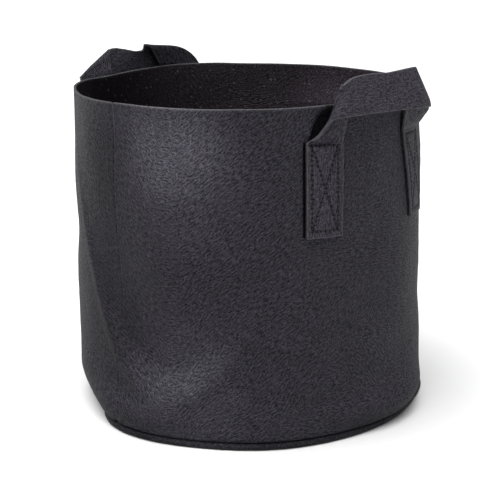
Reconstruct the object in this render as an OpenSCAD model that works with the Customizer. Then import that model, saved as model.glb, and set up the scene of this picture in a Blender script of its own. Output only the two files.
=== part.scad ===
// Round fabric grow bag: a needle-punched felt wall rolled into a tube and
// closed by one side seam, a round felt base sewn in with its seam turned
// inside, and two folded strap handles on box-and-cross stitched feet.
// Millimetres, +Z up, origin at the middle of the base on the floor.
// The right handle is on +X, the left on -X; front is -Y, near the side seam.

/* [Bag] */
// Outer diameter of the standing bag
bag_d = 300; // [240:5:400]
// Height from the floor to the rim
bag_h = 270; // [230:5:380]
// Thickness of the felt, wall, base and strap alike
felt_t = 2.2; // [1.6:0.1:2.8]
// Width of the seam allowances turned to the inside
allowance = 10; // [8:1:14]
// Angle of the side seam round the bag, from +X
seam_angle = -86; // [-95:1:-85]

/* [Handles] */
// Width of the handle strap
strap_w = 30; // [24:1:36]
// Angle round the bag from the middle of a handle to each foot
foot_angle = 20; // [19:0.5:26]
// Length of strap lying flat on the wall at each foot
foot_len = 72; // [55:1:90]
// Distance from the rim down to the top of each foot
foot_drop = 27; // [22:1:40]
// Half the length of the grip along its lower edge
grip_low = 57; // [54:1:64]
// Half the length of the grip along its upper edge
grip_high = 37; // [32:1:42]
// Height of the grip's lower edge below the rim
grip_dip = 8.5; // [6:0.5:12]

/* [Stitching] */
// Diameter of the sewing thread
thread_d = 0.9; // [0.6:0.1:1.2]
// Distance from one stitch to the next
stitch_pitch = 3.5; // [3:0.5:6]
// Distance from a strap edge to the nearest row of stitches
stitch_inset = 4.2; // [3:0.2:6]

/* [Hidden] */

felt_colour = [0.17, 0.17, 0.19];
strap_colour = [0.20, 0.20, 0.22];
thread_colour = [0.07, 0.07, 0.08];

turn_fn = 180;   // facets round the bag
bend_fn = 64;    // facets round a fold in the felt
thread_fn = 24;  // facets round the thread

// Wall and base
bag_r = bag_d / 2;
ply_gap = 0.05;             // between felt plies that lie against each other
roll_r = 0.8;               // inner radius of the base edge where it rolls over
bend_r = 1.5;               // inner radius of the wall edge where it turns in
lip_h = 2 * (felt_t + roll_r);   // height of the rolled base edge
flange_z = lip_h + ply_gap;      // underside of the wall's turned-in allowance
groove_side = 1.8;          // side of the square that cuts the seam's V groove
groove_out = 0.25;          // from the wall's face out to that square's middle
slit_extra = 6;             // length of the seam slit beyond allowance and felt
overcut = 1;                // how far a cut runs past the felt

// Handles
foot_r = bag_r + ply_gap;   // inner face of a foot
face_r = foot_r + felt_t;   // outer face of a foot
foot_top = bag_h - foot_drop;
foot_z = foot_top - foot_len;
grip_z = bag_h - grip_dip;
grip_x = bag_r + 1.4;       // back face of the grip, clear of the wall
grip_overlap = 0.2;         // how far a riser's front passes the grip's back
riser_z = foot_top + 0.8;   // bottom of a riser, just above its foot
riser_out = 0.4;            // from a foot's inner face out to its riser's
slab_h = 1;                 // height of the slabs a riser is hulled from
crease_w = 2;               // width of the slabs at the slanting crease

// Stitches
stitch_len = stitch_pitch * 0.72;
thread_rise = thread_d / 2 - thread_d * 0.3;  // thread axis above the felt, part sunk
leg_d = thread_d * 0.8;                       // thread where it passes through the felt
leg_len = 2 * felt_t + ply_gap + 0.3;         // long enough to pass two plies

// Side seam and base seam
side_row_in = 4;            // from the wall's inner face to the stitch rows
side_row_up = 4;            // from the turned-in allowance up to the first stitch
side_row_clear = 12;        // height above flange_z left out of the stitch count
base_row_r = bag_r - 7.5;
base_row_clear = 4;         // least distance skipped either side of the side seam

// Box and cross on each foot
box_low_extra = 1;          // added to stitch_inset at the foot's bottom
box_top_inset = 0.8;
corner_gap = 1.6;           // level rows stop this far short of the upright ones
cross_side_gap = 2;         // diagonals stop this far in from the upright rows
cross_end_gap = 4;          // and this far from the level rows
cross_break = [1, 3.2];     // half gap [across, up] where one diagonal meets the other

// Degrees taken up by a length of arc.
function arc_angle(length, radius) = length / radius * 180 / PI;

// ---------------------------------------------------------------- felt parts

// Section of felt bent round the origin on its +X side, from the bottom
// (-Y) up through turn_h.
module felt_bend(inner_r, turn_h) {
    outer_r = inner_r + felt_t;
    intersection() {
        difference() {
            circle(r = outer_r, $fn = bend_fn);
            circle(r = inner_r, $fn = bend_fn);
        }
        translate([0, -outer_r]) square([outer_r, turn_h]);
    }
}

// Section of the wall: straight side, small bend, allowance turned inwards.
module wall_section() {
    bend = bend_r + felt_t;
    translate([bag_r - felt_t, flange_z + bend]) square([felt_t, bag_h - flange_z - bend]);
    translate([bag_r - allowance - bend, flange_z]) square([allowance, felt_t]);
    translate([bag_r - bend, flange_z + bend]) felt_bend(bend_r, bend);
}

// Section of the base: flat disc, edge rolled up and back over itself.
module base_section() {
    roll = roll_r + felt_t;
    square([bag_r - roll, felt_t]);
    translate([bag_r - allowance - roll, felt_t + 2 * roll_r]) square([allowance, felt_t]);
    translate([bag_r - roll, roll]) felt_bend(roll_r, 2 * roll);
}

// Turns what is drawn with its seam at -Y to where the side seam is.
module at_seam() {
    rotate([0, 0, seam_angle + 90]) children();
}

// The wall is one sheet: its two upright edges turn inwards at the side seam
// and lie face to face, with a V groove down the outside.
module wall_panel() {
    half_t = felt_t / 2;
    color(felt_colour) at_seam() {
        difference() {
            rotate_extrude($fn = turn_fn) wall_section();
            translate([-ply_gap, -bag_r - overcut, 0])
                cube([2 * ply_gap, allowance + felt_t + slit_extra, bag_h + overcut]);
            translate([0, -bag_r - groove_out, flange_z - overcut]) rotate([0, 0, 45])
                translate([-groove_side / 2, -groove_side / 2, 0])
                    cube([groove_side, groove_side, bag_h]);
        }
        for (x = [-ply_gap - felt_t, ply_gap])
            translate([x, -(bag_r - half_t), flange_z + half_t])
                cube([felt_t, half_t + allowance, bag_h - flange_z - half_t]);
    }
}

module base_panel() {
    color(felt_colour) rotate_extrude($fn = turn_fn) base_section();
}

// A foot: the end of a strap lying flat on the wall, at a given angle round it.
module foot(angle) {
    half_angle = arc_angle(strap_w / 2, foot_r + felt_t / 2);
    color(strap_colour)
        rotate([0, 0, angle - half_angle])
            rotate_extrude(angle = 2 * half_angle, $fn = turn_fn)
                translate([foot_r, foot_z]) square([felt_t, foot_len]);
}

// Small slab behind one end of the grip, its outer side half_len from the middle.
module crease_slab(side, half_len, z) {
    translate([grip_x - felt_t + grip_overlap,
               side * (half_len - crease_w / 2) - crease_w / 2, z])
        cube([felt_t, crease_w, slab_h]);
}

// The free part of a strap: two risers that lean outwards off the feet, and a
// grip folded down over them along a slanting crease at each end.
module handle_loop() {
    grip_top = grip_z + strap_w;
    color(strap_colour) {
        translate([grip_x, 0, 0]) rotate([90, 0, 90])
            linear_extrude(felt_t)
                polygon([[-grip_low, grip_z], [grip_low, grip_z],
                         [grip_high, grip_top], [-grip_high, grip_top]]);
        for (side = [-1, 1])
            hull() {
                rotate([0, 0, side * foot_angle])
                    translate([foot_r + riser_out, -strap_w / 2, riser_z])
                        cube([felt_t, strap_w, slab_h]);
                crease_slab(side, grip_low, grip_z);
                crease_slab(side, grip_high, grip_top - slab_h);
            }
    }
}

// ------------------------------------------------------------------- sewing

// The visible length of a stitch.
module stitch(center = false) {
    cylinder(h = stitch_len, d = thread_d, center = center, $fn = thread_fn);
}

// The thread of a stitch where it passes through the felt.
module leg(length) {
    cylinder(h = length, d = leg_d, $fn = thread_fn);
}

// One stitch on a foot, at distance arc round its face and height z, leaning
// lean degrees from upright.
module stitch_on_foot(angle, arc, z, lean) {
    rotate([0, 0, angle + arc_angle(arc, face_r)])
        translate([face_r + thread_rise, 0, z]) {
            rotate([-lean, 0, 0]) stitch(center = true);
            rotate([0, -90, 0]) leg(leg_len);
        }
}

// A straight run of stitches between two points [arc, z] on a foot.
module stitch_run(angle, from, to) {
    run = to - from;
    count = max(1, round(norm(run) / stitch_pitch));
    for (i = [0 : count - 1]) {
        at = from + run * (i + 0.5) / count;
        stitch_on_foot(angle, at[0], at[1], atan2(run[0], run[1]));
    }
}

// Box and cross: four sides, one whole diagonal and one in two halves.
module box_stitch(angle) {
    half_w = strap_w / 2 - stitch_inset;
    low = foot_z + stitch_inset + box_low_extra;
    high = foot_top - box_top_inset;
    row_end = half_w - corner_gap;
    cross_end = half_w - cross_side_gap;
    cross_low = low + cross_end_gap;
    cross_high = high - cross_end_gap;
    middle = [0, (low + high) / 2];
    break_low = [cross_break[0], -cross_break[1]];
    color(thread_colour) {
        for (arc = [-half_w, half_w]) stitch_run(angle, [arc, low], [arc, high]);
        for (z = [low, high]) stitch_run(angle, [-row_end, z], [row_end, z]);
        stitch_run(angle, [-cross_end, cross_low], [cross_end, cross_high]);
        stitch_run(angle, [cross_end, cross_low], middle + break_low);
        stitch_run(angle, middle - break_low, [-cross_end, cross_high]);
    }
}

// Upright rows on both faces of the doubled allowance at the side seam, tied
// together by the thread that passes through both plies.
module side_seam_thread() {
    count = floor((bag_h - flange_z - side_row_clear) / stitch_pitch);
    row_x = ply_gap + felt_t + thread_rise;
    first_z = flange_z + felt_t + side_row_up;
    color(thread_colour)
        at_seam() for (i = [0 : count - 1])
            translate([0, -(bag_r - felt_t - side_row_in), first_z + i * stitch_pitch]) {
                for (x = [-row_x, row_x])
                    translate([x, 0, 0]) stitch();
                translate([-row_x, 0, stitch_len / 2]) rotate([0, 90, 0]) leg(2 * row_x);
            }
}

// A ring of stitches on the wall's turned-in allowance, inside the bag, each
// passing down through the wall's allowance and the base's.
module base_seam_thread() {
    count = floor(2 * PI * base_row_r / stitch_pitch);
    skip = ceil(base_row_clear / stitch_pitch);
    color(thread_colour)
        for (i = [skip : count - skip])
            rotate([0, 0, seam_angle + i * 360 / count])
                translate([base_row_r, 0, flange_z + felt_t + thread_rise]) {
                    rotate([90, 0, 0]) stitch(center = true);
                    translate([0, 0, -leg_len]) leg(leg_len);
                }
}

// ---------------------------------------------------------------- the nodes

wall_panel();
base_panel();
side_seam_thread();
base_seam_thread();
foot(-foot_angle);  // right_handle_front_foot
foot(foot_angle);  // right_handle_rear_foot
handle_loop();  // right_handle_loop
foot(180 + foot_angle);  // left_handle_front_foot
foot(180 - foot_angle);  // left_handle_rear_foot
rotate([0, 0, 180]) handle_loop();  // left_handle_loop
box_stitch(-foot_angle);  // right_front_box_stitch
box_stitch(foot_angle);  // right_rear_box_stitch
box_stitch(180 + foot_angle);  // left_front_box_stitch
box_stitch(180 - foot_angle);  // left_rear_box_stitch
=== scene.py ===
# A round, open bag of dark needle-punched felt with two strap handles.
# It stands on z = 0 round the Z axis. The right handle is on +X, the left on -X, the front is -Y.
# The wall is one sheet of felt joined at an upright side seam; the base's edge is rolled up and
# in under the wall's turned-in allowance. Shapes are in millimetres and degrees; make_mesh turns
# them into metres. An azimuth is measured from +X; a bearing from the camera, right positive.

import math

import bmesh
import bpy
import numpy as np
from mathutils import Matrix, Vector


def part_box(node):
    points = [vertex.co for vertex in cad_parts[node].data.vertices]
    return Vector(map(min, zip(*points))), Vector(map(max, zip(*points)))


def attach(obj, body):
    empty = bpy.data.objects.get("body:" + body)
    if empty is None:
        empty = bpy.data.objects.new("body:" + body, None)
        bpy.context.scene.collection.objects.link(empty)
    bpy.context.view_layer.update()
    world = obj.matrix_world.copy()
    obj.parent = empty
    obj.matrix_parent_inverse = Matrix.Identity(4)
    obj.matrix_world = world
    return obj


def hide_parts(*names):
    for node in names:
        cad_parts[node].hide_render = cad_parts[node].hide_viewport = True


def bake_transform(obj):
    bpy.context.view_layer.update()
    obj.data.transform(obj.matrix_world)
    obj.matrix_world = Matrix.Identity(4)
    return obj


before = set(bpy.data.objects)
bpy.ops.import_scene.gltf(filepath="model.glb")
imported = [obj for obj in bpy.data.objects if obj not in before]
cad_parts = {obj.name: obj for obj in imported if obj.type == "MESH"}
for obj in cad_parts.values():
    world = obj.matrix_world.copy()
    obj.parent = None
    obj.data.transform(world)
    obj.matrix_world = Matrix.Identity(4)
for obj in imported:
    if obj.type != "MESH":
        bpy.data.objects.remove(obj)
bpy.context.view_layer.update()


def box_mm(piece):
    low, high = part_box(piece)
    return np.array(low) * 1000, np.array(high) * 1000


# ---- sizes ----
foot_low, foot_high = box_mm("right_handle_rear_foot")
WALL_R, _, RIM_Z = (float(c) for c in box_mm("wall_panel")[1])  # outer radius, rim height
LIP_Z = float(box_mm("base_panel")[1][2])  # top of the base's rolled edge
FELT = 2.2  # felt thickness
GAP = 0.05  # clearance between two plies
ALLOWANCE = 10.0  # width of a seam allowance
STRAP_W = 30.0
STRAP_R = WALL_R + GAP + FELT / 2  # middle of the strap's thickness on a foot
FOOT_Z0, FOOT_Z1 = float(foot_low[2]), float(foot_high[2])
FOOT_AZ = math.degrees(math.asin((float(foot_low[1]) + float(foot_high[1])) / 2 / STRAP_R))
HALF_AZ = math.degrees(STRAP_W / 2 / STRAP_R)  # half a strap's width as an angle
X_BEARING = 41.6  # bearing of +X
SEAM = -86.2  # azimuth of the side seam
STITCH = 3.6  # stitch length in the seams

# foot: its nominal azimuth, then how far it is turned at mid height, and turn per mm of height
FEET = {
    "right_front": (-FOOT_AZ, 0.2, -0.006),
    "right_rear": (FOOT_AZ, 2.4, -0.087),
    "left_front": (180 + FOOT_AZ, -0.2, 0.014),
    "left_rear": (180 - FOOT_AZ, 0.1, -0.010),
}
# each handle's own frame is turned by its azimuth; its feet are on its own -Y and +Y
HANDLE_AZ = {"right": 0.0, "left": 180.0}
HANDLE_FEET = {"right": ("right_front", "right_rear"), "left": ("left_rear", "left_front")}


# ---- curves and noise ----
def smooth(low, high, x):
    t = np.clip((np.asarray(x, float) - low) / (high - low), 0, 1)
    return t * t * (3 - 2 * t)


def hill(x, centre, width):
    return np.exp(-(((np.asarray(x, float) - centre) / width) ** 2))


def wrap(angle):
    return (np.asarray(angle, float) + 180) % 360 - 180


def round_hill(bearing, centre, width):
    """A hill over an angle, carried on past 180 degrees."""
    return hill(wrap(bearing - centre), 0, width)


def lattice_noise(seed, u, v, nu, nv):
    """Smooth noise from -1 to 1. u runs from 0 to 1 and repeats, v from 0 to 1."""
    values = np.random.default_rng(seed).uniform(-1, 1, (nu, nv + 2))
    x = (np.asarray(u, float) % 1.0) * nu
    y = np.clip(np.asarray(v, float), 0, 1) * nv
    i, j = np.floor(x).astype(int), np.minimum(np.floor(y).astype(int), nv)
    fx, fy = x - i, y - j
    fx = fx * fx * fx * (fx * (fx * 6 - 15) + 10)
    fy = fy * fy * fy * (fy * (fy * 6 - 15) + 10)
    i0, i1 = i % nu, (i + 1) % nu
    j1 = np.minimum(j + 1, nv + 1)
    low = values[i0, j] * (1 - fx) + values[i1, j] * fx
    high = values[i0, j1] * (1 - fx) + values[i1, j1] * fx
    return low * (1 - fy) + high * fy


# ---- the slack shape of the standing felt ----
# the rim's rises and dips: bearing, spread, height
RIM_SWELLS = ((-118, 16, -2.4), (-158, 18, 0.7), (-56, 14, -1.2), (2, 24, 1.1), (28, 12, 2.4))

# swells that fade out upwards from the floor:
# bearing, spread, outwards in mm, share of the height they reach, power of the fade
FLOOR_SWELLS = (
    (-92, 26, -12.5, 0.15, 1.25),  # crushed lower edge at the camera's left
    (74, 14, -3.6, 0.075, 1.1),  # a smaller one at its right
    (178, 22, -4.0, 0.16, 1.2),
    (2, 26, 3.8, 0.30, 1.0),
)

# bumps and hollows: bearing, height, spread round, spread up, outwards in mm
SWELLS = (
    (-86, 2, 16, 9, -1.0), (-68, 2, 16, 9, -12.1), (-50, 2, 16, 9, 5.2), (-30, 2, 16, 9, 3.9),
    (-104, 20, 16, 13, -1.3), (-86, 20, 16, 13, 3.4), (-68, 20, 16, 13, -1.5),
    (-50, 20, 16, 13, 5.3), (-30, 20, 16, 13, 6.7), (-86, 42, 16, 18, -2.0),
    (-68, 42, 16, 18, 2.2), (-50, 42, 16, 18, 1.0), (50, 2, 16, 9, -0.6), (68, 2, 16, 9, 0.9),
    (86, 2, 16, 9, 5.2), (50, 20, 16, 13, 7.4), (68, 20, 16, 13, 4.0), (86, 20, 16, 13, -1.1),
    (68, 42, 16, 18, 2.9), (86, 42, 16, 18, -2.1), (80, 205, 18, 30, 2.6),
    (84, 150, 18, 30, 0.9), (84, 245, 18, 20, -0.6), (90, 90, 18, 26, -1.4),
    (-82, 152, 14, 26, -1.6), (84, 55, 18, 34, 1.4),
    (-45, 165, 11, 80, -3.2),  # upright hollow left of the buckle
    (148, 110, 10, 60, -2.0), (-150, 90, 12, 50, -1.6),  # faint upright hollows, far side
)

# the left edge of the hollow behind the right front strap, and of the shade painted into it:
# heights and bearings
HOLLOW_Z = [236, 240, 244, 250, 256, 261, 266, 270]
HOLLOW_BEARING = [16.2, 16.2, 16.6, 17.4, 18.1, 18.9, 20.2, 21.6]

MOUTH_R = 150  # the mouth's radius before it is drawn into an oval
MOUTH_ACROSS, MOUTH_ALONG = 0.974, 1.027  # its stretch across and along the camera's line


def rim_height(azimuth):
    """The cut edge is not quite level."""
    z = RIM_Z + 0.5 * lattice_noise(11, azimuth / 360.0, 0.3, 26, 2) - 0.3
    bearing = wrap(azimuth + X_BEARING)
    for centre, spread, height in RIM_SWELLS:
        z = z + height * round_hill(bearing, centre, spread)
    return z


def mouth_oval(bearing):
    """How far the mouth stands out of round, with a shift to the camera's left."""
    a = np.radians(bearing)
    across = np.sin(a) / (MOUTH_ACROSS * MOUTH_R)
    along = np.cos(a) / (MOUTH_ALONG * MOUTH_R)
    return 1 / np.sqrt(across ** 2 + along ** 2) - MOUTH_R - 2.6 * np.sin(a)


def buckle(bearing, z):
    """A curved hollow with a lip under it, low down and left of the camera."""
    across = (bearing + 26) * WALL_R * math.pi / 180
    above = z - 49 - np.where(across < 0, 0.0128, 0.0113) * across * across
    fade = hill(across, 0, np.where(across < 0, 66, 50))
    lip = hill(above, -12, 13)
    hollow = hill(above, 15, np.where(above < 15, 15, 60))
    return 6.2 * fade * (lip - 1.25 * hollow)


def upright_swell(bearing, z):
    """A swell that grows up to z = 196 and falls back towards the rim."""
    upper = 1 - 1.75 * smooth(196, 258, z) + 0.55 * smooth(258, 271, z)
    return 5.2 * hill(bearing, -25, 16) * np.where(z < 196, smooth(0, 196, z), upper)


def strap_hollow_and_shade(azimuth, z):
    """0 to 1 in the hollow behind the right front strap where it stands off the wall; the wall
    dents in there and the same mask paints shade into it.
    """
    bearing = wrap(np.asarray(azimuth, float) + X_BEARING)
    edge = np.interp(z, HOLLOW_Z, HOLLOW_BEARING)
    across = smooth(edge - 0.5, edge + 0.7, bearing) * (1 - smooth(edge + 5.5, edge + 9.5, bearing))
    return across * smooth(238, 245, z)


def dents(azimuth, z):
    """How far the standing felt is from a true cylinder, outwards."""
    azimuth = np.asarray(azimuth, float)
    z = np.asarray(z, float)
    bearing = wrap(azimuth + X_BEARING)
    turn, up = azimuth / 360.0, z / RIM_Z
    out = mouth_oval(bearing) * smooth(0.0, 1.0, up)
    # slack sides: broad waves, held a little at floor and rim, and narrower ones
    held = smooth(0.0, 0.25, up) * (1 - 0.5 * smooth(0.8, 1.0, up))
    out = out + 1.1 * lattice_noise(3, turn, up, 7, 3) * held
    out = out + 0.55 * lattice_noise(4, turn, up, 17, 7) * smooth(0.02, 0.3, up)
    for centre, spread, depth, reach, power in FLOOR_SWELLS:
        fade = (1 - smooth(0.0, reach, up)) ** power
        out = out + depth * round_hill(bearing, centre, spread) * fade
    for centre, height, spread, spread_up, depth in SWELLS:
        out = out + depth * round_hill(bearing, centre, spread) * hill(z, height, spread_up)
    out = out + buckle(bearing, z) + upright_swell(bearing, z)
    out = out - 3.4 * strap_hollow_and_shade(azimuth, z) * (1 - smooth(264, 270, z))
    # felt is never quite even
    return out + 0.16 * lattice_noise(7, turn, up, 120, 34)


def foot_azimuth(foot, z):
    """Azimuth of a foot's middle at height z: no strap is sewn on quite upright."""
    nominal, shift, slope = FEET[foot]
    return nominal + shift + slope * (np.asarray(z, float) - (FOOT_Z0 + FOOT_Z1) / 2)


def to_xyz(r, azimuth, z):
    a = np.radians(azimuth)
    return np.stack([r * np.cos(a), r * np.sin(a), z + np.zeros_like(a)], -1)


def carried(r, azimuth, z):
    """A point of the undistorted bag, moved with the felt round it."""
    return to_xyz(r + dents(azimuth, z) * smooth(118, 146, r), azimuth, z)


# ---- meshes ----
def make_mesh(name, points_mm, faces, material, uv, attributes=None, body=None):
    mesh = bpy.data.meshes.new(name)
    points = (np.asarray(points_mm, float) / 1000).tolist()
    mesh.from_pydata(points, [], [list(map(int, f)) for f in faces])
    mesh.validate(verbose=False)
    mesh.update()
    mesh.polygons.foreach_set("use_smooth", [True] * len(mesh.polygons))
    layer = mesh.uv_layers.new(name="felt")
    loop_points = np.empty(len(mesh.loops), np.int32)
    mesh.loops.foreach_get("vertex_index", loop_points)
    layer.data.foreach_set("uv", np.asarray(uv, np.float32)[loop_points].ravel())
    for key, values in (attributes or {}).items():
        attribute = mesh.attributes.new(key, "FLOAT", "POINT")
        attribute.data.foreach_set("value", np.asarray(values, np.float32).ravel())
    ob = bpy.data.objects.new(name, mesh)
    bpy.context.scene.collection.objects.link(ob)
    mesh.materials.append(material)
    if body:
        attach(ob, body)
    return ob


def recalc_outward(ob):
    bm = bmesh.new()
    bm.from_mesh(ob.data)
    bmesh.ops.recalc_face_normals(bm, faces=bm.faces)
    bm.to_mesh(ob.data)
    bm.free()
    ob.data.update()


def grid_faces(n, m, wrap_n=False, wrap_m=False, offset=0, flip=False):
    """Quads of a grid whose point (i, j) is i * m + j."""
    i = np.arange(n if wrap_n else n - 1)
    j = np.arange(m if wrap_m else m - 1)
    i, j = np.meshgrid(i, j, indexing="ij")
    i2, j2 = (i + 1) % n, (j + 1) % m
    quads = np.stack([i * m + j, i2 * m + j, i2 * m + j2, i * m + j2], -1).reshape(-1, 4) + offset
    return (quads[:, ::-1] if flip else quads).tolist()


# ---- materials ----
class Nodes:
    """Adds nodes to a material or world. An input takes a value or another node's output."""

    def __init__(self, owner):
        owner.use_nodes = True
        self.tree = owner.node_tree

    def fill(self, node, inputs):
        for key, source in inputs.items():
            if isinstance(source, bpy.types.NodeSocket):
                self.tree.links.new(source, node.inputs[key])
            else:
                node.inputs[key].default_value = source

    def add(self, kind, inputs, **settings):
        node = self.tree.nodes.new("ShaderNode" + kind)
        for key, value in settings.items():
            setattr(node, key, value)
        self.fill(node, inputs)
        return node

    def math(self, operation, a, b, clamp=False):
        return self.add("Math", {0: a, 1: b}, operation=operation, use_clamp=clamp).outputs[0]

    def total(self, first, *rest):
        for term in rest:
            first = self.math("ADD", first, term)
        return first

    def times(self, a, b):
        return self.math("MULTIPLY", a, b)

    def noise(self, vector, scale, detail=2.0, roughness=0.5, output="Fac"):
        inputs = {"Scale": scale, "Detail": detail, "Roughness": roughness, "Vector": vector}
        return self.add("TexNoise", inputs).outputs[output]

    def remap(self, value, low, high, to_low=0.0, to_high=1.0):
        return self.add("MapRange", {
            "From Min": low, "From Max": high, "To Min": to_low, "To Max": to_high,
            "Value": value}).outputs[0]

    def mix_value(self, factor, a, b):
        return self.add("Mix", {0: factor, 2: a, 3: b}, data_type="FLOAT").outputs[0]

    def mix_colour(self, factor, a, b, blend="MIX"):
        inputs = {0: factor, 6: a, 7: b}
        return self.add("Mix", inputs, data_type="RGBA", blend_type=blend).outputs[2]

    def attribute(self, name):
        return self.add("Attribute", {}, attribute_name=name).outputs["Fac"]

    def uv(self):
        return self.add("UVMap", {}, uv_map="felt").outputs[0]

    def bump(self, height, strength, distance):
        inputs = {"Strength": strength, "Distance": distance, "Height": height}
        return self.add("Bump", inputs).outputs[0]


def swirled(nodes, uv):
    """The cloth's own coordinates, bent a little as the fibres swirl."""
    swirl = nodes.noise(uv, scale=16.0, detail=1.0, output="Color")
    centred = nodes.add("VectorMath", {0: swirl, 1: (0.5, 0.5, 0.5)}, operation="SUBTRACT")
    inputs = {"Scale": 0.014, 0: centred.outputs[0]}
    shift = nodes.add("VectorMath", inputs, operation="SCALE")
    return nodes.add("VectorMath", {0: uv, 1: shift.outputs[0]}, operation="ADD").outputs[0]


def needle_tracks(nodes, cloth):
    """Tracks that lean one way, lie level or lean the other way, chosen by felt_lay."""
    lay = nodes.attribute("felt_lay")
    tracks = []
    for lean in (42, -42, 0):
        rotation = (0, 0, math.radians(lean))
        turned = nodes.add("Mapping", {"Rotation": rotation, "Vector": cloth}).outputs[0]
        drawn = nodes.add("Mapping", {"Scale": (250, 820, 1), "Vector": turned}).outputs[0]
        tracks.append(nodes.noise(drawn, scale=1.0, detail=1.5, roughness=0.55))
    one_way, other_way, level = tracks
    lower = nodes.mix_value(nodes.remap(lay, -0.62, -0.12), one_way, level)
    track = nodes.mix_value(nodes.remap(lay, 0.12, 0.62), lower, other_way)
    return nodes.remap(track, 0.385, 0.615)


ROUGHNESS = 0.48  # of mid-toned felt
ROUGHNESS_SWING = 0.06  # more in the dark, less in the light
SPECULAR = 0.13  # of mid-toned felt


def felt_material(name, light, dark, bump=1.0, streak=1.0):
    """Needle-punched felt. UVs are in metres along the cloth."""
    material = bpy.data.materials.new(name)
    nodes = Nodes(material)
    nodes.tree.nodes.clear()
    output = nodes.add("OutputMaterial", {})
    bsdf = nodes.add("BsdfPrincipled", {})
    nodes.fill(output, {0: bsdf.outputs[0]})
    uv = nodes.uv()
    cloth = swirled(nodes, uv)
    track = needle_tracks(nodes, cloth)
    grain = nodes.remap(nodes.noise(uv, scale=720.0, roughness=0.7), 0.35, 0.65)
    blotch = nodes.remap(nodes.noise(cloth, scale=60.0, detail=3.0, roughness=0.6), 0.3, 0.7)
    broad = nodes.remap(nodes.noise(uv, scale=11.0), 0.3, 0.7)
    fleck = nodes.remap(nodes.noise(uv, scale=640.0, detail=0.5), 0.66, 0.76)

    # tone: 0 is the dark colour, 1 the light one; painted shade and a little random density darken
    # it
    tone = nodes.total(nodes.times(track, 0.44 * streak), nodes.times(grain, 0.48),
                       nodes.times(blotch, 0.10), nodes.times(broad, 0.06))
    tone = nodes.math("ADD", tone, nodes.times(fleck, 0.25), clamp=True)
    tone = nodes.math("POWER", tone, 1.3)
    inner = nodes.attribute("felt_inner")
    density_and_shade = nodes.attribute("felt_density_and_shade")
    tone = nodes.times(tone, nodes.math("SUBTRACT", 1.0, density_and_shade))
    edge = nodes.attribute("felt_edge_highlight")
    gap = nodes.attribute("felt_painted_shade")
    colour = nodes.mix_colour(tone, (*dark, 1), (*light, 1))
    # painted light: the inside is tinted a little warmer to stand for the light that falls inside
    # the bag
    colour = nodes.mix_colour(inner, colour, (1.10, 0.93, 0.95, 1), blend="MULTIPLY")
    # painted highlight along the cut edges and the side seam, broken up by noise, and a little
    # lint, most of it inside
    broken = nodes.remap(nodes.noise(uv, scale=900.0), 0.35, 0.6, to_low=0.45)
    edge_highlight_and_lint = nodes.times(edge, broken)
    specks = nodes.remap(nodes.noise(uv, scale=310.0, detail=0.0), 0.745, 0.80)
    lint = nodes.times(specks, nodes.math("ADD", nodes.times(inner, 0.6), 0.12))
    edge_highlight_and_lint = nodes.math("MAXIMUM", edge_highlight_and_lint, lint)
    colour = nodes.mix_colour(edge_highlight_and_lint, colour, (0.150, 0.146, 0.158, 1))
    # painted shade: the crevices by the feet, the hollow behind a strap and the stitch holes are
    # painted all but black and don't shine
    colour = nodes.mix_colour(gap, colour, (0.0015, 0.0015, 0.0018, 1))
    specular = nodes.times(
        nodes.remap(tone, 0.0, 1.0, to_low=SPECULAR * 0.35, to_high=SPECULAR * 1.65),
        nodes.math("SUBTRACT", 1.0, gap))
    relief = nodes.total(nodes.times(track, 0.55 * streak), nodes.times(grain, 0.5),
                         nodes.times(blotch, 0.35))
    nodes.fill(bsdf, {
        "Base Color": colour,
        "Roughness": nodes.remap(tone, 0.0, 1.0, to_low=ROUGHNESS + ROUGHNESS_SWING,
                                 to_high=ROUGHNESS - ROUGHNESS_SWING),
        "Specular IOR Level": specular,
        "Sheen Weight": 0.01,
        "Sheen Roughness": 0.40,
        "Sheen Tint": (0.85, 0.83, 0.9, 1),
        "Normal": nodes.bump(relief, strength=0.75 * bump, distance=0.0008),
    })
    return material


def thread_material(name):
    """Dark twisted thread, banded aslant."""
    material = bpy.data.materials.new(name)
    nodes = Nodes(material)
    inputs = {"Scale": 420.0, "Distortion": 1.2, "Vector": nodes.uv()}
    twist = nodes.add("TexWave", inputs, wave_type="BANDS", bands_direction="DIAGONAL")
    twist = twist.outputs["Fac"]
    nodes.fill(nodes.tree.nodes["Principled BSDF"], {
        "Base Color": nodes.mix_colour(twist, (0.008, 0.008, 0.010, 1), (0.042, 0.039, 0.047, 1)),
        "Roughness": 0.55,
        "Specular IOR Level": 0.25,
        "Normal": nodes.bump(twist, strength=0.5, distance=0.0002),
    })
    return material


WALL_FELT = felt_material(
    "wall_felt", light=(0.062, 0.058, 0.074), dark=(0.0054, 0.0051, 0.0067))
# painted shade: the base felt is darker than the wall's, standing for the shade low down by the
# floor
BASE_FELT_SHADED = felt_material(
    "base_felt_painted_shade", light=(0.034, 0.032, 0.041), dark=(0.0040, 0.0038, 0.0050))
# painted light and shade: the near strap's felt is lighter and the far strap's darker than the
# wall's, standing for how the light falls on them
STRAP_FELT_LIT_AND_SHADED = {
    "right": felt_material("strap_felt", light=(0.098, 0.091, 0.114),
                           dark=(0.0088, 0.0082, 0.0108), bump=0.8, streak=0.8),
    "left": felt_material("far_strap_felt_painted_shade", light=(0.060, 0.056, 0.072),
                          dark=(0.0062, 0.0058, 0.0078), bump=0.8, streak=0.8),
}
THREAD = thread_material("black_thread")


# ---- the wall: one sheet of felt, in plan a loop that turns in at the seam ----
TURN_R = 3.7  # outer radius of the bend where the wall turns in over the base
TURN_Z = LIP_Z + GAP  # underside of the turned-in allowance
CHAMFER = 0.35  # of the cut rim
STEPS = np.linspace(0, 1, 7)  # stations along an allowance and along a seam bend
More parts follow.
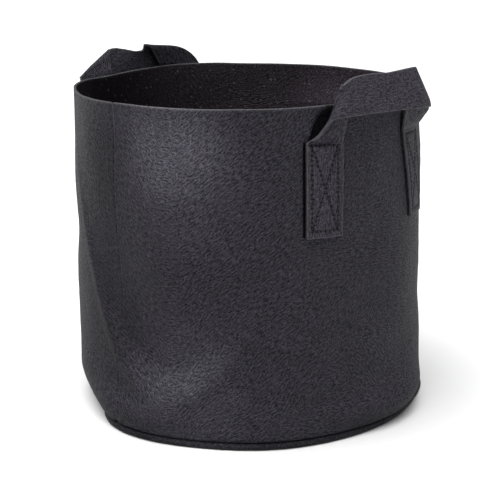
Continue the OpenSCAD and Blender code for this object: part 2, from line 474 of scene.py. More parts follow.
# at those bend stations, where the outer face is drawn to, as the sewing pulls the plies tight
GROOVE_DEPTH = [2.45, 0.34, 0.20, 0.11, 0.05, 0.02, 0.0]
GROOVE_SIDE = [0.05, 0.06, 0.45, 0.95, 1.5, 2.0, 2.45]


def wall_stations():
    """Stations of the sheet's middle along its length, as columns: radius, azimuth from the
    seam, outward normal's angle from the seam, and fold. Fold runs from -1 to 0 along an
    allowance and from 0 to 1 round the bend."""
    bend_r = FELT / 2 + 0.25
    middle_r = WALL_R - FELT / 2
    ply_y = GAP + FELT / 2
    plan = [(middle_r - bend_r - ALLOWANCE * (1 - s), ply_y, -90.0, s - 1.0) for s in STEPS[:-1]]
    for s in STEPS:
        a = math.radians(-90 + 90 * s)
        plan.append((middle_r - bend_r + bend_r * math.cos(a),
                     ply_y + bend_r + bend_r * math.sin(a), -90 + 90 * s, s))
    first = [(math.hypot(x, y), math.degrees(math.atan2(y, x)), n, s) for x, y, n, s in plan]
    # closer stations by the edges of the feet
    edges = np.array([(foot_azimuth(foot, z) + side * HALF_AZ - SEAM) % 360
                      for foot in FEET for side in (-1, 1) for z in (FOOT_Z0, FOOT_Z1)])
    start = math.degrees(math.atan2(ply_y + bend_r, middle_r))
    turns = [start]
    while turns[-1] < 360 - start:
        near = np.min(np.abs(wrap(turns[-1] - edges)))
        turns.append(turns[-1] + (0.26 if near < 2.4 else 0.5 if near < 4 else 0.92))
    around = [(middle_r, t, t, 1.0) for t in turns[1:-1]]
    last = [(r, 360 - t, 360 - n, s) for r, t, n, s in reversed(first)]
    return np.array(first + around + last)


def wall_section():
    """Loop round the sheet's upright section: depth in from the outer face, z and face.
    z is a height on the bend, and elsewhere the share of the way from the bend to the rim."""
    inner_r = TURN_R - FELT
    rim = [0.0, 0.0, 0.003, 0.008]
    down = np.linspace(0.016, 0.42, 52).tolist() + np.linspace(0.42, 1, 50)[1:].tolist()
    section = [(0.0, 1 - f, "outer") for f in rim + down]
    for k in range(1, 7):
        a = math.radians(15 * k)
        section.append((TURN_R - TURN_R * math.cos(a), TURN_Z + TURN_R - TURN_R * math.sin(a),
                        "bend"))
    section += [(TURN_R + ALLOWANCE * k / 4, TURN_Z, "bend") for k in range(1, 5)]
    section += [(TURN_R + ALLOWANCE * k / 4, TURN_Z + FELT, "bend") for k in range(4, -1, -1)]
    for k in range(5, 0, -1):
        a = math.radians(15 * k)
        section.append((TURN_R - inner_r * math.cos(a), TURN_Z + TURN_R - inner_r * math.sin(a),
                        "bend"))
    up = np.linspace(1, 0.016, 40).tolist()
    return section + [(FELT, 1 - f, "inner") for f in up + rim[::-1]]


def foot_dip_and_shade(azimuth, z):
    """0 to 1 where the wall dips away from the edges and lower ends of the feet; the same mask
    paints shade into those crevices.
    """
    gap = np.zeros_like(azimuth + z)
    for foot in FEET:
        off = wrap(azimuth - foot_azimuth(foot, np.minimum(z, FOOT_Z1))) * math.pi / 180 * WALL_R
        reach = 2.0 if foot == "right_front" else 14.0
        beside = (smooth(FOOT_Z0 - 1.0, FOOT_Z0 + 1.0, z)
                  * (1 - smooth(FOOT_Z1 + reach - 2, FOOT_Z1 + reach + 4, z)))
        for side, strength in ((-1, 1.0), (1, 0.40)):
            outside = off * side - STRAP_W / 2
            gap = np.maximum(gap, strength * hill(outside, 0.9, 1.15) * beside)
        across = 1 - smooth(STRAP_W / 2 - 0.5, STRAP_W / 2 + 1, np.abs(off))
        gap = np.maximum(gap, 0.32 * hill(z, FOOT_Z0 - 1.0, 1.2) * across)
    return gap


def sheet_end_faces(section, first):
    """Close one upright end of the sheet, whose section starts at point number first."""
    outer = [j for j, row in enumerate(section) if row[2] == "outer"]
    inner = [j for j, row in enumerate(section) if row[2] == "inner"][::-1]
    faces = []
    i = j = 0
    while i < len(outer) - 1 or j < len(inner) - 1:
        step_outer = j == len(inner) - 1 or (
            i < len(outer) - 1 and section[outer[i + 1]][1] >= section[inner[j + 1]][1])
        tip = outer[i + 1] if step_outer else inner[j + 1]
        faces.append([first + outer[i], first + tip, first + inner[j]])
        i, j = (i + 1, j) if step_outer else (i, j + 1)
    faces.append([first + k for k in range(outer[-1], inner[-1] + 1)])
    return faces


def wall_lay(azimuth, z):
    """Lean of the needle tracks: left of the camera they lie in arcs round the highlight, a painted
    sheen pattern, and elsewhere they wander.
    """
    bearing = wrap(azimuth + X_BEARING)
    wander = 1.3 * lattice_noise(31, azimuth / 360.0, z / RIM_Z, 13, 5)
    # painted sheen: the tracks turn into arcs round the highlight
    arc = hill(bearing, -22, 40)
    return wander * (1 - arc) + arc * 1.25 * np.tanh((bearing + 24) / 9)


def wall_density_and_shade(azimuth, z, within):
    """How much the felt is darkened: painted shade in an upright strip left of the camera and on
    the inside at the far left, and a little random density.
    """
    bearing = wrap(azimuth + X_BEARING)
    band = smooth(30, 90, z) * (1 - smooth(236, 262, z))
    # painted shade: an upright strip left of the camera, and the inside at the far left
    density_and_shade = 0.26 * hill(bearing, -47, 12) * band * (1 - within)
    density_and_shade = density_and_shade + 0.80 * round_hill(bearing, -118, 36) * within
    density_and_shade = density_and_shade + 0.10 * lattice_noise(33, azimuth / 360.0, z / RIM_Z, 9, 4)
    return np.clip(density_and_shade, 0, 1)


def build_wall():
    middle_r, turn, facing, fold = wall_stations().T
    section = wall_section()
    n, m = len(turn), len(section)
    azimuth = wrap(turn + SEAM)
    tuck = np.clip(-fold, 0, 1)  # 1 at the inner end of an allowance
    fold = np.clip(fold, 0, 1)
    rim = rim_height(azimuth) - 5.0 * smooth(0.0, 0.75, tuck) - 0.8 * (1 - fold)
    groove_depth = np.interp(fold, STEPS, GROOVE_DEPTH)
    groove_side = np.interp(fold, STEPS, GROOVE_SIDE)
    bending = (fold > 0) & (fold < 1)
    first_bend, last_bend = bending & (turn < 180), bending & (turn > 180)
    bend_rows = [j for j, row in enumerate(section) if row[2] == "bend"]
    normal = np.radians(facing + SEAM)
    plan_x = middle_r * np.cos(np.radians(azimuth))
    plan_y = middle_r * np.sin(np.radians(azimuth))
    length = np.concatenate([[0], np.cumsum(np.hypot(np.diff(plan_x), np.diff(plan_y)))])

    points = np.zeros((n, m, 3))
    uv = np.zeros((n, m, 2))
    edge, gap, within = (np.zeros((n, m)) for _ in range(3))
    for j, (depth, level, face) in enumerate(section):
        if face == "bend":
            k = (j - bend_rows[0] + 1) / (len(bend_rows) + 1)
            # an upright allowance just ends here
            end_z = TURN_Z + 0.8 * TURN_R + CHAMFER * (1 - math.sin(math.pi * k))
            inwards = (1 - fold) * FELT * k + fold * depth
            z = (1 - fold) * end_z + fold * level
        elif j in (0, m - 1):
            inwards = np.full(n, CHAMFER if j == 0 else FELT - CHAMFER)
            z = rim
        else:
            inwards = np.full(n, depth)
            z = (TURN_Z + TURN_R) + (rim - CHAMFER - TURN_Z - TURN_R) * level
        x = plan_x + (FELT / 2 - inwards) * np.cos(normal)
        y = plan_y + (FELT / 2 - inwards) * np.sin(normal)
        r, az = np.hypot(x, y), np.degrees(np.arctan2(y, x))
        # painted highlight along the cut rim
        edge[:, j] = {0: 0.8, 1: 0.6, 2: 0.15}.get(min(j, m - 1 - j), 0.0) * (fold > 0.2)
        if face == "outer":
            for mask, sign in ((first_bend, 1), (last_bend, -1)):
                r[mask] = WALL_R - groove_depth[mask]
                az[mask] = SEAM + sign * np.degrees(groove_side[mask] / WALL_R)
            dip = foot_dip_and_shade(az, z)
            r = r - 1.7 * dip * (fold > 0.5)
            # painted shade in the dips beside the feet and in the hollow behind the right front
            # strap
            gap[:, j] = np.maximum(0.96 * smooth(0.25, 0.85, dip), 0.62 * strap_hollow_and_shade(az, z))
            # painted highlight along the side seam, strongest near the rim
            drawn = hill(fold, 0.36, 0.22) * first_bend * (0.15 + 0.85 * smooth(205, 262, z))
            edge[:, j] = np.maximum(edge[:, j], 0.42 * drawn)
        inner = face == "inner" or (face == "bend" and depth > 1.5)
        within[:, j] = inner
        points[:, j] = carried(r, az, z)
        uv[:, j, 0] = length / 1000
        uv[:, j, 1] = (z + (600 + depth if inner else 0)) / 1000  # the inner face is 600 mm away

    faces = grid_faces(n, m, wrap_m=True)
    for first in (0, (n - 1) * m):
        faces += sheet_end_faces(section, first)
    column, height = azimuth[:, None], points[..., 2]
    ob = make_mesh("felt_wall", points.reshape(-1, 3), faces, WALL_FELT,
                   uv.reshape(-1, 2),
                   {"felt_edge_highlight": edge, "felt_painted_shade": gap, "felt_lay": wall_lay(column, height),
                    "felt_inner": within, "felt_density_and_shade": wall_density_and_shade(column, height, within)},
                   body="bag")
    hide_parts("wall_panel")
    recalc_outward(ob)


# ---- the base: a round of felt, its edge rolled up and back in ----
def build_base():
    roll_in = LIP_Z / 2 - FELT  # inner and outer radius of the roll
    roll_out = FELT + roll_in
    roll_r = WALL_R - roll_out
    # section from the axis under the floor, out round the roll, and back over the floor
    outer = [(r, 0.0) for r in np.linspace(0, roll_r, 30)]
    outer += [(roll_r + roll_out * math.sin(a), roll_out - roll_out * math.cos(a))
              for a in np.linspace(0, math.pi, 15)[1:]]
    outer += [(r, LIP_Z) for r in np.linspace(roll_r, roll_r - ALLOWANCE, 5)[1:]]
    inner = [(r, LIP_Z - FELT) for r in np.linspace(roll_r - ALLOWANCE, roll_r, 5)]
    inner += [(roll_r + roll_in * math.sin(a), roll_out + roll_in * math.cos(a))
              for a in np.linspace(0, math.pi, 9)[1:]]
    upper_floor = [(r, FELT) for r in np.linspace(roll_r, 0, 42)[1:]]
    path = np.array(outer + inner + upper_floor)
    m, n = len(path), 400
    azimuth = np.broadcast_to(np.linspace(-180, 180, n, endpoint=False)[:, None], (n, m))
    r, z = np.broadcast_to(path[:, 0], (n, m)), np.broadcast_to(path[:, 1], (n, m))
    # the floor of the bag is a little lumpy
    lumps = (0.5 * lattice_noise(21, azimuth / 360.0, r / WALL_R, 9, 4)
             + 0.3 * lattice_noise(22, azimuth / 360.0, r / WALL_R, 31, 11))
    lumpy = (np.arange(m) >= m - len(upper_floor))[None, :] & (r < WALL_R - 16)
    fade = smooth(0, 30, r) * (1 - smooth(105, 134, r))
    z = z + np.where(lumpy, np.abs(lumps) * fade, 0)
    points = carried(r, azimuth, z)
    # both ends of the path sit on the axis: one point each
    verts = np.concatenate([[points[0, 0], points[0, -1]], points[:, 1:-1].reshape(-1, 3)])
    rows = m - 2
    faces = grid_faces(n, rows, wrap_n=True, offset=2)
    for i in range(n):
        k = (i + 1) % n
        faces.append([0, 2 + k * rows, 2 + i * rows])
        faces.append([1, 2 + i * rows + rows - 1, 2 + k * rows + rows - 1])
    # the cloth's own coordinates: the round laid flat, its other side 700 mm away
    run = np.cumsum(np.concatenate([[0], np.hypot(*np.diff(path, axis=0).T)]))
    on_outer = np.arange(m) < len(outer)
    flat = np.where(on_outer, run, run[-1] - run)[1:-1]
    a = np.radians(azimuth[:, 1:-1])
    cloth = np.stack([flat * np.cos(a), flat * np.sin(a)], -1)
    cloth = cloth + 700 * (~on_outer[1:-1])[None, :, None]
    uv = np.concatenate([[[0, 0], [700, 700]], cloth.reshape(-1, 2)]) / 1000
    zeros = np.zeros(len(verts))
    ob = make_mesh("felt_base", verts, faces, BASE_FELT_SHADED, uv,
                   {"felt_edge_highlight": zeros, "felt_painted_shade": zeros}, body="bag")
    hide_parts("base_panel")
    recalc_outward(ob)


# ---- straps: a ribbon through rungs, each rung one line across the cloth ----
# A rung is x, y, z of the strap's outer edge, x, y, z of its inner edge, and how far the line
# bows between them in x, y and z, more by the outer edge. All in the handle's own frame.
# Each strap has the rungs from its -Y foot upwards, the middle one, and from its +Y foot upwards.
RIGHT_RUNGS = (
    [
        (137.6, -65.7, 244.6, 147.6, -37.2, 249.5, 1.5, -0.8, 0),
        (138.6, -65.1, 244.9, 149.1, -35.6, 258.0, 2.4, 0.2, 0),
        (139.4, -64.2, 245.3, 150.0, -35.4, 267.0, 2.2, 2.2, -0.6),
        (140.3, -63.3, 245.8, 150.4, -38.0, 277.5, 1.2, 3.2, -1.0),
        (141.5, -62.4, 246.4, 151.2, -42.9, 286.6, 0.4, 4.6, -1.6),
        (143.7, -61.3, 248.0, 153.4, -43.5, 287.6, 0.8, 4.2, -1.6),
        (147.2, -59.2, 253.0, 154.0, -41.2, 289.2, 0.8, 2.2, -0.5),
        (151.8, -57.6, 259.0, 153.9, -37.3, 290.9, 0.9, 0.8, 0),
        (154.9, -54.0, 262.6, 153.6, -32.5, 292.1, 0.7, 0, 0),
        (156.8, -46.1, 263.6, 153.2, -26.2, 292.9, 0.5, 0, 0),
        (156.9, -27.0, 263.5, 152.8, -13.0, 293.3, -0.3, 0, 0),
    ],
    (156.6, -3.0, 263.3, 152.4, 4.0, 292.6, -0.5, 0, 0),
    [
        (140.5, 64.0, 248.0, 149.0, 32.8, 249.5, 1.2, 0.6, 0),
        (143.2, 64.6, 253.2, 149.8, 32.4, 262.0, 1.6, 0.6, 0),
        (146.6, 63.2, 257.6, 150.2, 34.0, 277.0, 1.2, 0, 0),
        (148.6, 61.2, 260.6, 150.0, 37.0, 289.2, 0.6, 0, 0),
        (150.2, 59.9, 261.4, 150.9, 37.9, 293.0, 0.3, 0, 0),
        (152.7, 56.6, 261.5, 152.9, 35.4, 294.4, 0.7, 0, 0),
        (156.4, 47.1, 262.2, 153.6, 30.2, 294.5, 0.9, 0, 0),
        (157.0, 23.2, 263.0, 153.0, 16.0, 293.4, 0, 0, 0),
    ],
)
# folded less neatly: one end upright, the other leaning and turned over
LEFT_RUNGS = (
    [
        (138.6, -65.7, 248.5, 147.8, -35.2, 249.5, 1.0, 0, 0),
        (142.6, -66.2, 255.0, 149.4, -30.0, 257.0, 1.0, 0, 0),
        (146.4, -66.6, 261.5, 150.4, -23.0, 266.0, 0.6, 0, 1.0),
        (149.4, -66.4, 267.0, 150.6, -15.5, 278.5, 0.4, -1.0, 4.0),
        (150.6, -65.8, 269.2, 150.4, -6.8, 290.2, 0.2, -1.5, 7.0),
        (152.8, -63.6, 269.6, 152.6, -4.4, 290.8, 0.4, -1.5, 6.4),
        (154.8, -56.0, 266.4, 155.2, -4.8, 287.8, 0.4, -1.0, 3.0),
        (155.6, -44.0, 262.6, 156.6, -4.6, 285.6, 0, 0, 0),
        (155.6, -24.0, 260.0, 157.4, -1.4, 285.0, 0.8, 0, 0),
    ],
    (155.4, 2.0, 259.0, 158.0, 4.0, 285.2, 0, 0, 0),
    [
        (139.2, 66.3, 248.5, 148.4, 37.2, 250.0, 1.0, 0, 0),
        (143.0, 68.2, 254.0, 149.6, 36.2, 260.0, 1.2, 0, 0),
        (147.0, 70.2, 260.5, 152.0, 35.0, 269.0, 1.0, 0, 0),
        (149.2, 71.0, 264.6, 157.5, 32.4, 277.6, 0.6, 0, 0),
        (150.6, 70.6, 265.6, 162.4, 29.2, 285.8, 0.6, 0, 0.3),
        (152.8, 68.6, 265.2, 164.4, 27.6, 287.4, 0.8, 0, 0.3),
        (154.8, 62.0, 263.6, 164.2, 22.4, 288.2, 0.6, 0, 0),
        (155.6, 50.0, 261.0, 162.4, 16.4, 287.6, 0, 0, 0),
        (155.4, 26.0, 259.6, 160.0, 9.0, 286.2, -0.8, 0, 0),
    ],
)


def foot_rung(handle, side, z):
    """A rung at height z of the foot on the handle's own -Y (side -1) or +Y (side 1)."""
    foot = HANDLE_FEET[handle][side > 0]
    middle = float(wrap(foot_azimuth(foot, z) - HANDLE_AZ[handle]))
    rung = ()
    for turn in (side * HALF_AZ, -side * HALF_AZ):
        a = math.radians(middle + turn)
        rung += (STRAP_R * math.cos(a), STRAP_R * math.sin(a), z)
    return rung + (0.0, 0.0, 0.0)


def spline(points, knots, x):
    """Smooth cubic through points at rising knots, sampled at x."""
    gaps = np.diff(knots)[:, None]
    chords = np.diff(points, axis=0) / gaps
    slope = np.empty_like(points)
    slope[1:-1] = (chords[:-1] * gaps[1:] + chords[1:] * gaps[:-1]) / (gaps[1:] + gaps[:-1])
    slope[0], slope[-1] = chords[0], chords[-1]
    i = np.clip(np.searchsorted(knots, x, side="right") - 1, 0, len(knots) - 2)
    gap = (knots[i + 1] - knots[i])[:, None]
    t = ((x - knots[i]) / (knots[i + 1] - knots[i]))[:, None]
    return ((2 * t**3 - 3 * t**2 + 1) * points[i] + (t**3 - 2 * t**2 + t) * gap * slope[i]
            + (-2 * t**3 + 3 * t**2) * points[i + 1] + (t**3 - t**2) * gap * slope[i + 1])


def strap_surface(handle, rungs, foot_rows=104, loop_rows=210, columns=45):
    """Middle surface of a strap in its handle's own frame: points, where they lie along it
    and across it, which rows lie on the feet, and its whole length."""
    low, middle, high = rungs
    heights = [FOOT_Z0, (FOOT_Z0 + FOOT_Z1) / 2, FOOT_Z1 - 6, FOOT_Z1]
    rows = np.array([foot_rung(handle, -1, z) for z in heights] + low + [middle] + high[::-1]
                    + [foot_rung(handle, 1, z) for z in reversed(heights)])
    parts = rows[:, :3], rows[:, 3:6], rows[:, 6:]
    step = sum(np.linalg.norm(np.diff(part, axis=0), axis=1) for part in parts[:2])
    knots = np.concatenate([[0], np.cumsum(step / 2)])
    foot_length = knots[len(heights) - 1]
    total = knots[-1]
    x = np.concatenate([np.linspace(0, foot_length, foot_rows, endpoint=False),
                        np.linspace(foot_length, total - foot_length, loop_rows, endpoint=False),
                        np.linspace(total - foot_length, total, foot_rows)])
    outer, inner, bow = (spline(part, knots, x)[:, None] for part in parts)
    v = np.linspace(0, 1, columns)
    across = v[None, :, None]
    points = (outer * (1 - across) + inner * across
              + bow * (4 * across * (1 - across) * (1.8 - 1.6 * across)))
    on_foot = np.ones(len(x), bool)
    on_foot[foot_rows:-foot_rows] = False
    # a foot lies on the round wall, so its middle stands proud of the line between its edges
    near_foot = 1 - smooth(foot_length - 2, foot_length + 16, np.minimum(x, total - x))
    share = near_foot * np.where(on_foot, 1.0, 0.55)
    r = np.hypot(points[..., 0], points[..., 1])
    outward = points[..., :2] / r[..., None]
    points[..., :2] += outward * (np.maximum(STRAP_R - r, -0.2) * share[:, None])[..., None]
    return points, x, v, on_foot, total


def box_stitches():
    """Box and cross on a foot: the two ends of each stitch, as distance across the strap
    from its middle, and height."""
    w = STRAP_W / 2 - 4.2
    low, high = FOOT_Z0 + 5.2, FOOT_Z1 - 0.8
    cross_w, cross_low, cross_high = w - 0.6, low + 1.6, high - 1.6
    runs = [((-w, low), (-w, high)), ((-w, high), (w, high)),
            ((w, high), (w, low)), ((w, low), (-w, low)),
            ((-cross_w, cross_low), (cross_w, cross_high)),
            ((cross_w, cross_low), (-cross_w, cross_high))]
    stitches = []
    for start, end in runs:
        start, end = np.array(start), np.array(end)
        n = max(1, round(np.linalg.norm(end - start) / 3.7))
        for i in range(n):
            stitches.append((start + (end - start) * i / n, start + (end - start) * (i + 1) / n))
    return stitches


BOX_STITCHES = box_stitches()


def press(s, z):
    """How deep the sewing pulls a foot in, s across from its middle: rows, deeper at holes."""
    depth = np.zeros(s.shape)
    for a, b in BOX_STITCHES:
        along = (s - a[0]) * (b[0] - a[0]) + (z - a[1]) * (b[1] - a[1])
        t = np.clip(along / np.sum((b - a) ** 2), 0, 1)
        off = np.hypot(s - a[0] - t * (b[0] - a[0]), z - a[1] - t * (b[1] - a[1]))
        depth = np.maximum(depth, 0.42 * hill(off, 0, 1.20))
        for hole in (a, b):
            off = np.hypot(s - hole[0], z - hole[1])
            depth = np.maximum(depth, 1.05 * hill(off, 0, 1.15))
    return depth


def surface_normals(points):
    normals = np.cross(np.gradient(points, axis=0), np.gradient(points, axis=1))
    return normals / np.maximum(np.linalg.norm(normals, axis=-1, keepdims=True), 1e-9)


def build_strap(handle, rungs, seed):
    points, x, v, on_foot, total = strap_surface(handle, rungs)
    nu, nv = points.shape[:2]
    # ride on the dented wall, and never inside it
    r, z = np.hypot(points[..., 0], points[..., 1]), points[..., 2]
    azimuth = np.degrees(np.arctan2(points[..., 1], points[..., 0]))
    azimuth = wrap(azimuth + HANDLE_AZ[handle])
    r = r + dents(azimuth, np.minimum(z, FOOT_Z1)) * (1 - smooth(FOOT_Z1, FOOT_Z1 + 26, z))
    clear = WALL_R + dents(azimuth, np.minimum(z, RIM_Z)) + FELT / 2 + 0.12
    clear = clear - 40 * smooth(RIM_Z + 0.3, RIM_Z + 7, z)  # no wall to clear above the rim
    points = to_xyz(np.maximum(r, clear), azimuth, z)
    normals = surface_normals(points)
    # on a foot, the outside faces away from the bag's axis
    if np.mean(np.sum(normals[:20, :, :2] * points[:20, :, :2], -1)) < 0:
        normals = -normals

    across = (v[None, :] - 0.5) * STRAP_W + np.zeros((nu, nv))
    along = np.minimum(x, total - x)[:, None] + np.zeros((nu, nv))
    pressed = np.where(on_foot[:, None], press(across, FOOT_Z0 + along), 0)
    u = x[:, None] / total * 0.98
    waves = (0.30 * lattice_noise(seed, u, v[None, :] * 0.8, 46, 3)
             + 0.12 * lattice_noise(seed + 1, u, v[None, :] * 0.9, 130, 11))
    side = np.abs(across) / (STRAP_W / 2)
    curl = 0.34 * smooth(0.74, 1.0, side) * on_foot[:, None]  # cut edges lift a little
    middle = points + normals * (0.5 * waves + curl)[..., None]
    half = FELT / 2 * (1 - 0.16 * smooth(0.93, 1.0, side))
    outer = middle + normals * (half - pressed)[..., None]
    inner = middle - normals * half[..., None]

    k = nu * nv
    faces = grid_faces(nu, nv) + grid_faces(nu, nv, offset=k, flip=True)
    for i in range(nu - 1):
        for j in (0, nv - 1):
            a, b = i * nv + j, (i + 1) * nv + j
            quad = [a, b, k + b, k + a]
            faces.append(quad[::-1] if j == 0 else quad)
    for j in range(nv - 1):
        for i in (0, nu - 1):
            a = i * nv + j
            quad = [a, a + 1, k + a + 1, k + a]
            faces.append(quad if i == 0 else quad[::-1])
    # painted highlight along the strap's cut edges and ends
    edge = np.maximum(0.85 * smooth(0.94, 1.0, side), 0.85 * (1 - smooth(0, 1.1, along)))
    # painted shade in the stitch rows and holes where the sewing presses in
    gap = 0.97 * smooth(0.50, 0.80, pressed)
    uv = np.stack([x[:, None] + np.zeros((nu, nv)), across], -1).reshape(-1, 2) / 1000
    ob = make_mesh(handle + "_strap",
                   np.concatenate([outer.reshape(-1, 3), inner.reshape(-1, 3)]), faces,
                   STRAP_FELT_LIT_AND_SHADED[handle],
                   np.concatenate([uv, uv + np.array([3.0, 2.0])]),
                   {"felt_edge_highlight": np.concatenate([edge, edge]),
                    "felt_painted_shade": np.concatenate([gap, 0 * gap])})
    recalc_outward(ob)
    swing = handle + "_handle"
    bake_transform(ob)
    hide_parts(swing + "_front_foot", swing + "_rear_foot", swing + "_loop")


# ---- sewing ----
# shape of a stitch, as share of its length and height over the cloth
BOX_ARCH = list(zip(np.linspace(0.05, 0.95, 9),
                    (-0.95, -0.42, -0.12, 0.02, 0.04, 0.02, -0.12, -0.42, -0.95)))
SEAM_ARCH = list(zip(np.linspace(0.04, 0.96, 7), (-0.5, -0.1, 0.12, 0.18, 0.12, -0.1, -0.5)))


def thread_tube(points, radius=0.40, sides=7):
    """A closed round thread through points, its ends drawn in: points, faces and UVs."""
    points = np.asarray(points, float)
    n = len(points)
    along = np.gradient(points, axis=0)
    along /= np.linalg.norm(along, axis=1)[:, None]
    upright = abs(along[n // 2][2]) >= 0.9
    across = np.cross(along, np.array([1.0, 0.0, 0.0] if upright else [0.0, 0.0, 1.0]))
    across /= np.linalg.norm(across, axis=1)[:, None]
    other = np.cross(along, across)
    w = np.linspace(0, 2 * math.pi, sides, endpoint=False)
    radii = np.sqrt(np.clip(1 - (np.linspace(-1, 1, n) ** 6) * 0.75, 0.05, 1)) * radius
    circle = (across[:, None] * np.cos(w)[None, :, None]
              + other[:, None] * np.sin(w)[None, :, None])
    rings = points[:, None] + radii[:, None, None] * circle
    faces = grid_faces(n, sides, wrap_m=True)
    faces.append(list(range(sides))[::-1])
    faces.append([(n - 1) * sides + j for j in range(sides)])
    u = np.broadcast_to(np.linspace(0, 3.0, n)[:, None], (n, sides))
    uv = np.stack([u, np.broadcast_to(w, (n, sides))], -1).reshape(-1, 2) / 1000
    return rings.reshape(-1, 3), faces, uv


def join_tubes(name, tubes, cad_piece):
    faces, offset = [], 0
    for points, tube_faces, _ in tubes:
        faces += [[i + offset for i in face] for face in tube_faces]
        offset += len(points)
    ob = make_mesh(name, np.concatenate([tube[0] for tube in tubes]), faces, THREAD,
                   np.concatenate([tube[2] for tube in tubes]), body="bag")
    recalc_outward(ob)
    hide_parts(cad_piece)


def build_box_stitch(foot):
    """Each stitch shows on the strap's face and on the inside of the wall."""
    tubes = []
    for a, b in BOX_STITCHES:
        on_strap, on_wall = [], []
        for f, rise in BOX_ARCH:
            s, z = a + (b - a) * f
            azimuth = np.array(float(foot_azimuth(foot, z)) + math.degrees(s / STRAP_R))
            out = float(dents(azimuth, min(z, FOOT_Z1)))
            on_strap.append(to_xyz(WALL_R + GAP + FELT + out - 0.28 + rise, azimuth, z))
            on_wall.append(to_xyz(WALL_R - FELT + out - 0.02 - 0.9 * rise, azimuth, z))
        tubes.append(thread_tube(on_strap, radius=0.46))
        tubes.append(thread_tube(on_wall, radius=0.42))
    join_tubes(foot + "_stitching", tubes, foot + "_box_stitch")


def build_side_seam():
    """Stitches up both faces of the two allowances inside the bag."""
    low, high = LIP_Z + 12, RIM_Z - 5
    n = int((high - low) / STITCH)
    a = math.radians(SEAM)
    radial = np.array([math.cos(a), math.sin(a), 0])
    tangent = np.array([-math.sin(a), math.cos(a), 0])
    tubes = []
    for side in (-1, 1):
        for i in range(n):
            points = []
            for f, rise in SEAM_ARCH:
                z = low + (i + f) * (high - low) / n
                r = WALL_R - FELT - 3.6 + float(dents(SEAM, z))
                points.append(radial * r + tangent * side * (GAP + FELT + rise)
                              + np.array([0, 0, z]))
            tubes.append(thread_tube(points))
    join_tubes("side_seam_stitching", tubes, "side_seam_thread")


def build_base_seam():
    """A ring of stitches on the wall's turned-in allowance, broken at the side seam."""
    seam_r = WALL_R - 7.5
    n = int(2 * math.pi * seam_r / STITCH)
    tubes = []
    for i in range(n):
        if abs(wrap((i + 0.5) * 360 / n)) < 1.8:
            continue
        tubes.append(thread_tube([
            carried(seam_r, np.array(SEAM + (i + f) * 360 / n), LIP_Z + GAP + FELT + rise)
            for f, rise in SEAM_ARCH]))
    join_tubes("base_seam_stitching", tubes, "base_seam_thread")


build_wall()
build_base()
build_strap("right", RIGHT_RUNGS, seed=41)
build_strap("left", LEFT_RUNGS, seed=61)
for foot_name in FEET:
    build_box_stitch(foot_name)
build_side_seam()
build_base_seam()


# ---- floor and surround, in metres from here on ----
FLOOR_HALF = 40.0
FLOOR_SEEN = (0.93, 0.93, 0.93, 1)  # the floor as the camera sees it
FLOOR_LIT = (0.50, 0.50, 0.50, 1)  # the floor as it lights the bag
SURROUND_SEEN, SURROUND_LIT = 1.0, 0.24  # strength of the surround, likewise


def floor_material():
    material = bpy.data.materials.new("pale_floor")
    nodes = Nodes(material)
    bsdf = nodes.tree.nodes["Principled BSDF"]
    nodes.fill(bsdf, {"Base Color": FLOOR_SEEN, "Roughness": 0.9})
    seen = nodes.add("LightPath", {}).outputs["Is Camera Ray"]
    nodes.fill(bsdf, {"Base Color": nodes.mix_colour(seen, FLOOR_LIT, FLOOR_SEEN)})
    return material


def build_floor():
    mesh = bpy.data.meshes.new("floor")
    s = FLOOR_HALF
    mesh.from_pydata([(-s, -s, 0), (s, -s, 0), (s, s, 0), (-s, s, 0)], [], [(0, 1, 2, 3)])
    floor = bpy.data.objects.new("floor", mesh)
    mesh.materials.append(floor_material())
    bpy.context.scene.collection.objects.link(floor)


def build_surround():
    world = bpy.data.worlds.new("studio")
    nodes = Nodes(world)
    background = nodes.tree.nodes["Background"]
    nodes.fill(background, {0: (1.0, 1.0, 1.0, 1), 1: SURROUND_LIT})
    seen = nodes.add("LightPath", {}).outputs["Is Camera Ray"]
    level = nodes.remap(seen, 0.0, 1.0, to_low=SURROUND_LIT, to_high=SURROUND_SEEN)
    nodes.fill(background, {1: level})
    bpy.context.scene.world = world


# ---- lights and camera ----
def view_dir(bearing, elevation):
    """Unit vector from the bag's axis."""
    a, e = math.radians(bearing - X_BEARING), math.radians(elevation)
    return np.array([math.cos(a) * math.cos(e), math.sin(a) * math.cos(e), math.sin(e)])


def add_aimed(name, data, direction, location=(0, 0, 0)):
    """Add a light or camera that looks along direction."""
    ob = bpy.data.objects.new(name, data)
    ob.location = tuple(location)
    ob.rotation_mode = "QUATERNION"
    ob.rotation_quaternion = Vector(tuple(direction)).to_track_quat("-Z", "Y")
    bpy.context.scene.collection.objects.link(ob)
    return ob


def soft_sun(name, bearing, elevation, strength, angle):
    light = bpy.data.lights.new(name, "SUN")
    light.energy = strength
    light.angle = math.radians(angle)
    add_aimed(name, light, -view_dir(bearing, elevation))


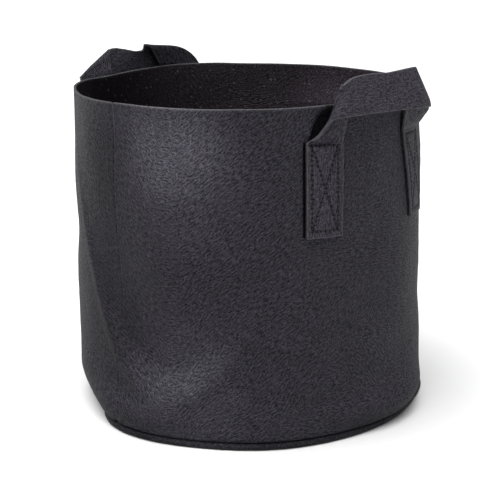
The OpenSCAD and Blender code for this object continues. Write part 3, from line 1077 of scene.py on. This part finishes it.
def softbox(name, bearing, elevation, distance, width, height, power):
    light = bpy.data.lights.new(name, "AREA")
    light.shape = "RECTANGLE"
    light.size, light.size_y = width, height
    light.energy = power
    aim = (0, 0, 0.15)
    location = view_dir(bearing, elevation) * distance + np.array(aim)
    ob = add_aimed(name, light, Vector(aim) - Vector(tuple(location)), location)
    ob.visible_camera = False


def pool(name, bearing, elevation, aim_bearing, aim_z, cone, power):
    """A soft-edged pool of light on one part of the wall."""
    light = bpy.data.lights.new(name, "SPOT")
    light.energy = power
    light.spot_size = math.radians(cone)
    light.spot_blend = 1.0
    light.shadow_soft_size = 0.015
    aim = view_dir(aim_bearing, 0) * 0.15 + np.array([0, 0, aim_z])
    location = aim + view_dir(bearing, elevation) * 1.1
    add_aimed(name, light, aim - location, location)


def build_camera():
    camera = bpy.data.cameras.new("camera")
    camera.sensor_width = 36.0
    camera.lens = 90.2916
    camera.clip_start, camera.clip_end = 0.05, 50
    distance, height, shift_right, pitch = 1.06654, 0.40887, 0.0005, math.radians(14.994)
    up = np.array([0, 0, 1])
    towards = view_dir(0, 0)
    location = towards * distance + up * height + view_dir(90, 0) * shift_right
    look = -towards * math.cos(pitch) - up * math.sin(pitch)
    bpy.context.scene.camera = add_aimed("camera", camera, look, location)


build_floor()
build_surround()
soft_sun("overhead", bearing=-42, elevation=77, strength=3.9, angle=58)
softbox("edge_left", bearing=-128, elevation=6, distance=1.5, width=1.1, height=0.8, power=2.6)
softbox("fill_right", bearing=58, elevation=3, distance=1.6, width=0.7, height=0.5, power=4)
# bearing, elevation, bearing and height of the aim, cone, power
pool("pool_high", -30, 8, aim_bearing=-24, aim_z=0.248, cone=6.0, power=48)
pool("pool_mid", -28, 8, aim_bearing=-19, aim_z=0.212, cone=6.6, power=18)
pool("pool_low", -36, 42, aim_bearing=-20, aim_z=0.048, cone=5.8, power=33)
pool("pool_wide", -30, 8, aim_bearing=-24, aim_z=0.125, cone=10, power=9)
build_camera()
bpy.context.scene.view_settings.view_transform = "Standard"
bpy.context.scene.view_settings.look = "None"
